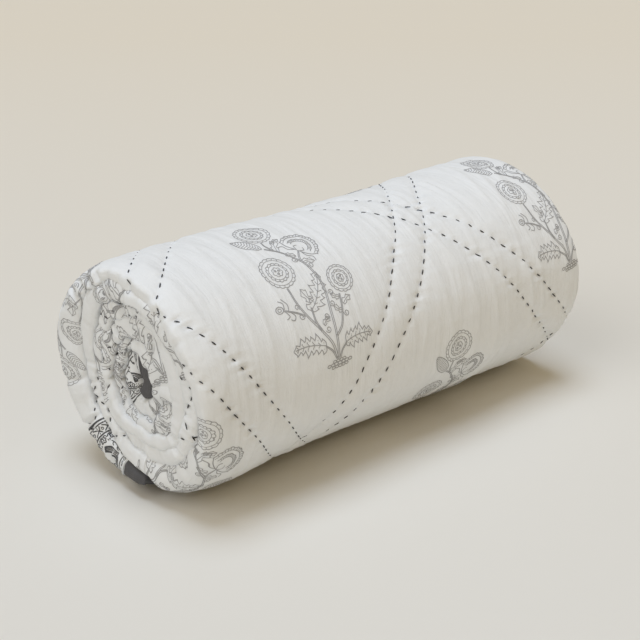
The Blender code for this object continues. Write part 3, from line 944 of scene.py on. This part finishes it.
def spray_prints():
    """Sprays in a half-drop repeat, each a little off its place, as a hand-held block lands."""
    mesh = block_mesh("spray_print", spray_block())
    prints = []
    for drop in range(*SPRAY_DROPS):
        for column in range(*SPRAY_COLUMNS):
            across = SPRAY_ACROSS + (column + (drop % 2) / 2) * DIAMOND_WIDTH
            along = FACE_LEAVES_FLOOR + SPRAY_ALONG + drop * DIAMOND_HEIGHT / 2
            hand = math.sin(drop * 5.1 + column * 2.7)
            unplanned = (0.0015 * hand, 0.002 * hand, 1.2 * hand)
            stray_across, stray_along, turn = SPRAYS_ASTRAY.get((drop, column), unplanned)
            across, along = across + stray_across, along + stray_along
            clear = CLOTH_FROM + SPRAYS_CLEAR[0] < along < CLOTH_TO - SPRAYS_CLEAR[1] - SPRAY_HEIGHT
            if clear and abs(across) < SPRAY_FEET_REACH:
                prints.append((mesh, across, along, math.radians(turn)))
    return prints


def border_prints():
    """One border by each binding, each with its ruled lines away from the binding."""
    mesh = block_mesh("border_print", border_block(BORDER_REPEATS))
    return [(mesh, 0.0, CLOTH_TO - BORDER_DEPTH, 0.0), (mesh, 0.0, CLOTH_FROM + BORDER_DEPTH, math.pi)]


def stitch_ends(direction, side, repeat):
    """Both ends of each stitch of one quilting line, as places on the flat cloth."""
    beats = np.arange(*STITCH_COUNTS)
    jitter = np.sin(beats * 12.9898 + repeat * 78.233 + side * 3.7 + direction)
    middle = (beats + 0.10 * jitter) * STITCH_PITCH
    half = STITCH_LENGTH / 2 * (1.0 + 0.20 * np.sin(beats * 7.13 + repeat))
    run = np.stack([middle - half, middle + half], axis=-1)
    beyond = run * STITCH_SLOPE / STITCH_RUN
    across = DIAMOND_CROSSING_X + direction * beyond / STITCH_SLOPE + side * LINE_PAIR_WIDTH / 2
    across = across + repeat * DIAMOND_WIDTH
    across = across + line_wander(run, direction, side, repeat) + pair_drift(direction, repeat, beyond)
    return np.stack([beyond + CROSSING_ALONG, across], axis=-1)


def stitches(name, cloths):
    """Running stitch in dark thread along every quilting line that shows."""
    ends = np.concatenate([stitch_ends(direction, side, repeat)
                           for direction, side in STITCH_KINDS for repeat in range(*PAIR_REPEATS)])
    along, across = ends[..., 0], ends[..., 1]
    shown = shows_on_cloth(along, across).all(axis=1)
    shown &= (along.max(axis=1) < CLOTH_TO - STITCHES_STOP) & (along.min(axis=1) > CLOTH_FROM + STITCHES_STOP)
    along, across = along[shown], across[shown]
    outside = along.min(axis=1) >= OUTER_FROM
    points = np.zeros(along.shape + (3,))
    normals = np.zeros(along.shape + (3,))
    for cloth, here in zip(cloths, (outside, along.max(axis=1) <= OUTER_FROM)):
        found = cloth.at(along[here].ravel(), across[here].ravel())
        points[here], normals[here] = (values.reshape(-1, 2, 3) for values in found)
    sewn = np.linalg.norm(points[:, 0], axis=1) > 0.0
    thread = thread_mesh()
    placed = lay_threads(thread, points[sewn], normals[sewn].mean(axis=1))
    bm = bmesh.new()
    for _ in range(len(placed)):
        bm.from_mesh(thread)
    for vert, point in zip(bm.verts, placed.reshape(-1, 3)):
        vert.co = point
    bmesh.ops.recalc_face_normals(bm, faces=bm.faces)
    return object_from(bm, name)


def thread_mesh():
    """One stitch of thread as a ball of few faces, which is drawn out to each stitch's length."""
    bm = bmesh.new()
    bmesh.ops.create_uvsphere(bm, u_segments=6, v_segments=6, radius=1.0)
    mesh = bpy.data.meshes.new("thread")
    bm.to_mesh(mesh)
    bm.free()
    return mesh


def lay_threads(thread, ends, up):
    """The thread's points for each stitch, plump in its middle and sunk a little into the cloth."""
    run = ends[:, 1] - ends[:, 0]
    length = np.linalg.norm(run, axis=1, keepdims=True)
    run = run / length
    up = up - run * (up * run).sum(axis=1, keepdims=True)
    up = up / np.linalg.norm(up, axis=1, keepdims=True)
    ball = np.array([vert.co for vert in thread.vertices])
    plump = np.sign(ball) * np.abs(ball) ** 0.85
    middle = ends.mean(axis=1) + up * THREAD_WIDTH * 0.20
    halves = (np.cross(up, run) * THREAD_WIDTH / 2, up * THREAD_WIDTH * 0.40, run * length / 2)
    return middle[:, None] + sum(plump[None, :, axis, None] * halves[axis][:, None] for axis in range(3))


def linear(hex_colour):
    """An sRGB colour written in hex as the linear one that the renderer wants."""
    parts = [int(hex_colour[i:i + 2], 16) / 255 for i in (0, 2, 4)]
    return tuple(p / 12.92 if p <= 0.04045 else ((p + 0.055) / 1.055) ** 2.4 for p in parts) + (1.0,)


def add_node(material, kind, settings=(), links=()):
    """Adds a node, sets its properties and sockets, and links its sockets from other nodes' outputs."""
    node = material.node_tree.nodes.new(kind)
    for key, value in dict(settings).items():
        if isinstance(key, int) or key in node.inputs:
            node.inputs[key].default_value = value
        else:
            setattr(node, key, value)
    for key, source in dict(links).items():
        material.node_tree.links.new(source, node.inputs[key])
    return node


def new_material(name, roughness, specular):
    material = bpy.data.materials.new(name)
    material.use_nodes = True
    shader = material.node_tree.nodes["Principled BSDF"]
    shader.inputs["Roughness"].default_value = roughness
    shader.inputs["Specular IOR Level"].default_value = specular
    return material, shader


def two_tones(material, shader, tones, share):
    """A base colour that varies between a lighter and a darker tone."""
    light, dark = tones
    tone = add_node(material, "ShaderNodeMix", {"data_type": "RGBA"}, {0: share})
    tone.inputs[6].default_value = linear(dark)
    tone.inputs[7].default_value = linear(light)
    material.node_tree.links.new(tone.outputs[2], shader.inputs["Base Color"])


def add_noise(material, vector, scale, detail, roughness, distortion=0.0):
    settings = {"Scale": scale, "Detail": detail, "Roughness": roughness, "Distortion": distortion}
    return add_node(material, "ShaderNodeTexNoise", settings, {"Vector": vector}).outputs["Fac"]


def add_stripes(material, vector, direction, scale):
    settings = {"bands_direction": direction, "Scale": scale}
    return add_node(material, "ShaderNodeTexWave", settings, {"Vector": vector}).outputs["Fac"]


def add_bumps(material, shader, layers):
    """Surface relief in layers, each a height, a strength and a depth in metres."""
    normal = None
    for height, strength, depth in layers:
        links = {"Height": height} if normal is None else {"Height": height, "Normal": normal}
        bump = add_node(material, "ShaderNodeBump", {"Strength": strength, "Distance": depth}, links)
        normal = bump.outputs["Normal"]
    material.node_tree.links.new(normal, shader.inputs["Normal"])


def cloth_place(material):
    return add_node(material, "ShaderNodeUVMap", {"uv_map": "cloth"}).outputs["UV"]


def woven_cotton(name, tones, thread_mm, weave_depth, crinkle_depth):
    """Plain-woven cotton, quilted and washed: threads over and under, and fine crinkles round the roll.

    To the eye it is matt and soft, with a faint bloom at grazing angles and no highlight.
    """
    material, shader = new_material(name, 0.90, 0.20)
    place = cloth_place(material)
    two_tones(material, shader, tones, add_noise(material, place, 70.0, 4.0, 0.6))
    scale = 1000.0 / thread_mm / 6.28  # one wave of the pattern spans two threads
    warp = add_stripes(material, place, "X", scale)
    weft = add_stripes(material, place, "Y", scale)
    weave = add_node(material, "ShaderNodeMath", {"operation": "MULTIPLY"}, {0: warp, 1: weft})
    drawn_out = add_node(material, "ShaderNodeMapping", {"Scale": (22.0, 150.0, 1.0)}, {"Vector": place})
    crinkles = add_noise(material, drawn_out.outputs["Vector"], 1.0, 3.0, 0.55, 0.5)
    crumple = add_noise(material, place, 110.0, 3.0, 0.6)
    add_bumps(material, shader, ((weave.outputs["Value"], 0.5, weave_depth), (crinkles, 0.7, crinkle_depth),
                                 (crumple, 0.6, crinkle_depth * 0.7)))
    shader.inputs["Sheen Weight"].default_value = 0.12
    shader.inputs["Sheen Roughness"].default_value = 0.5
    return material


def block_ink(name, tones):
    """Pigment pressed on by hand from a carved wooden block: matt, and patchy where it pressed less."""
    material, shader = new_material(name, 0.92, 0.15)
    two_tones(material, shader, tones, add_noise(material, cloth_place(material), 160.0, 5.0, 0.7))
    return material


def sewing_thread(name):
    """Twisted embroidery cotton: dark and matt, its plies showing as fine slanting stripes."""
    material, shader = new_material(name, 0.85, 0.25)
    place = add_node(material, "ShaderNodeTexCoord").outputs["Object"]
    plies = add_stripes(material, place, "DIAGONAL", 150.0)
    two_tones(material, shader, THREAD_TONES, plies)
    add_bumps(material, shader, ((plies, 0.5, 0.0003),))
    return material


def paper_with_painted_falloff(name):
    """A sheet of background paper: matt and nearly even; a painted light falloff makes it a little warmer
    towards the far left.
    """
    material, shader = new_material(name, 0.85, 0.15)
    place = add_node(material, "ShaderNodeTexCoord").outputs["Object"]
    away = add_node(material, "ShaderNodeMapping", {"Rotation": (0.0, 0.0, math.radians(-48.0)),
                                                    "Scale": (0.30, 0.30, 0.30),
                                                    "Location": (0.30, 0.0, 0.0)}, {"Vector": place})
    # Painted light falloff: the floor's tone grows warmer with distance from the camera, towards the far left
    painted_falloff = add_node(material, "ShaderNodeTexGradient", {}, {"Vector": away.outputs["Vector"]})
    two_tones(material, shader, PAPER_TONES_WITH_PAINTED_FALLOFF, painted_falloff.outputs["Fac"])
    return material


def set_camera():
    data = bpy.data.cameras.new("camera")
    data.lens = LENS_MM
    camera = new_object("camera", data)
    azimuth, elevation = math.radians(CAMERA_AZIMUTH), math.radians(CAMERA_ELEVATION)
    level = math.cos(elevation)
    back = Vector((math.sin(azimuth) * level, -math.cos(azimuth) * level, math.sin(elevation)))
    camera.location = CAMERA_TARGET + back * CAMERA_DISTANCE
    camera.rotation_euler = (-back).to_track_quat("-Z", "Y").to_euler()
    bpy.context.scene.camera = camera


def lay_floor():
    bm = bmesh.new()
    bmesh.ops.create_grid(bm, x_segments=1, y_segments=1, size=FLOOR_SIZE)
    floor = object_from(bm, "floor")
    floor.data.materials.append(paper_with_painted_falloff("paper_with_painted_falloff"))


def light_studio():
    for name, shines_from, strength, width, colour in LIGHTS:
        light = bpy.data.lights.new(name, "SUN")
        light.energy = strength
        light.angle = math.radians(width)
        light.color = linear(colour)[:3]
        lamp = new_object(name, light)
        lamp.rotation_euler = Vector(shines_from).to_track_quat("Z", "Y").to_euler()
    world = bpy.data.worlds.new("studio_light")
    world.use_nodes = True
    world.node_tree.nodes["Background"].inputs["Color"].default_value = linear(SKY_COLOUR)
    world.node_tree.nodes["Background"].inputs["Strength"].default_value = SKY_STRENGTH
    bpy.context.scene.world = world
    bpy.context.scene.view_settings.view_transform = "Standard"


def finish_piece(piece, material):
    piece.data.materials.clear()
    piece.data.materials.append(material)
    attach(piece, "root")


def quilted_cloth(start, end, step, rounds):
    return Cloth(np.linspace(start, end, round((end - start) / step) + 1), rounds, quilted_relief)


def binding_cloth(start, end, steps):
    along_steps, face_steps, under_steps = steps
    rounds = rounds_of(face_steps, FOLD_STEPS, under_steps)
    return Cloth(np.linspace(start, end, along_steps + 1), rounds, plain_relief)


def main():
    outer_rounds = rounds_of(round(ROLL_LENGTH / OUTER_CROSS_STEP), FOLD_STEPS, 4)
    inner_rounds = rounds_of(4, FOLD_STEPS, 3, edge_steps=3)
    outer_wrap = quilted_cloth(OUTER_FROM, CLOTH_TO, OUTER_STEP, outer_rounds)
    inner_turns = quilted_cloth(CLOTH_FROM, OUTER_FROM, INNER_STEP, inner_rounds)
    tail = binding_cloth(CLOTH_TO + PIECE_GAP, STRIP_END, TAIL_STEPS)
    core = binding_cloth(0.0, CLOTH_FROM - PIECE_GAP, CORE_STEPS)
    cloths = (outer_wrap, inner_turns)

    cotton = woven_cotton("washed_cotton_voile", COTTON_TONES, 0.7, 0.00020, 0.0013)
    charcoal = woven_cotton("charcoal_cotton_binding", BINDING_TONES, 0.9, 0.00045, 0.0012)
    ink = block_ink("grey_block_ink", SPRAY_INK_TONES)
    border_ink = block_ink("charcoal_block_ink", BORDER_INK_TONES)

    for name, cloth in (("outer_wrap", outer_wrap), ("inner_turns", inner_turns)):
        piece = wound_piece(name, cloth)
        finish_piece(piece, cotton)
        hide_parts("quilt_roll")
    bindings = (("tail_binding", tail, "binding_tail"), ("core_binding", core, "binding_core"))
    for name, cloth, node in bindings:
        piece = wound_piece(name, cloth)
        finish_piece(piece, charcoal)
        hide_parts(node)
    finish_piece(printed("flower_sprays", spray_prints(), cloths), ink)
    finish_piece(printed("border_prints", border_prints(), cloths), border_ink)
    thread = sewing_thread("charcoal_cotton_thread")
    finish_piece(stitches("running_stitch", cloths), thread)
    set_camera()
    lay_floor()
    light_studio()


main()
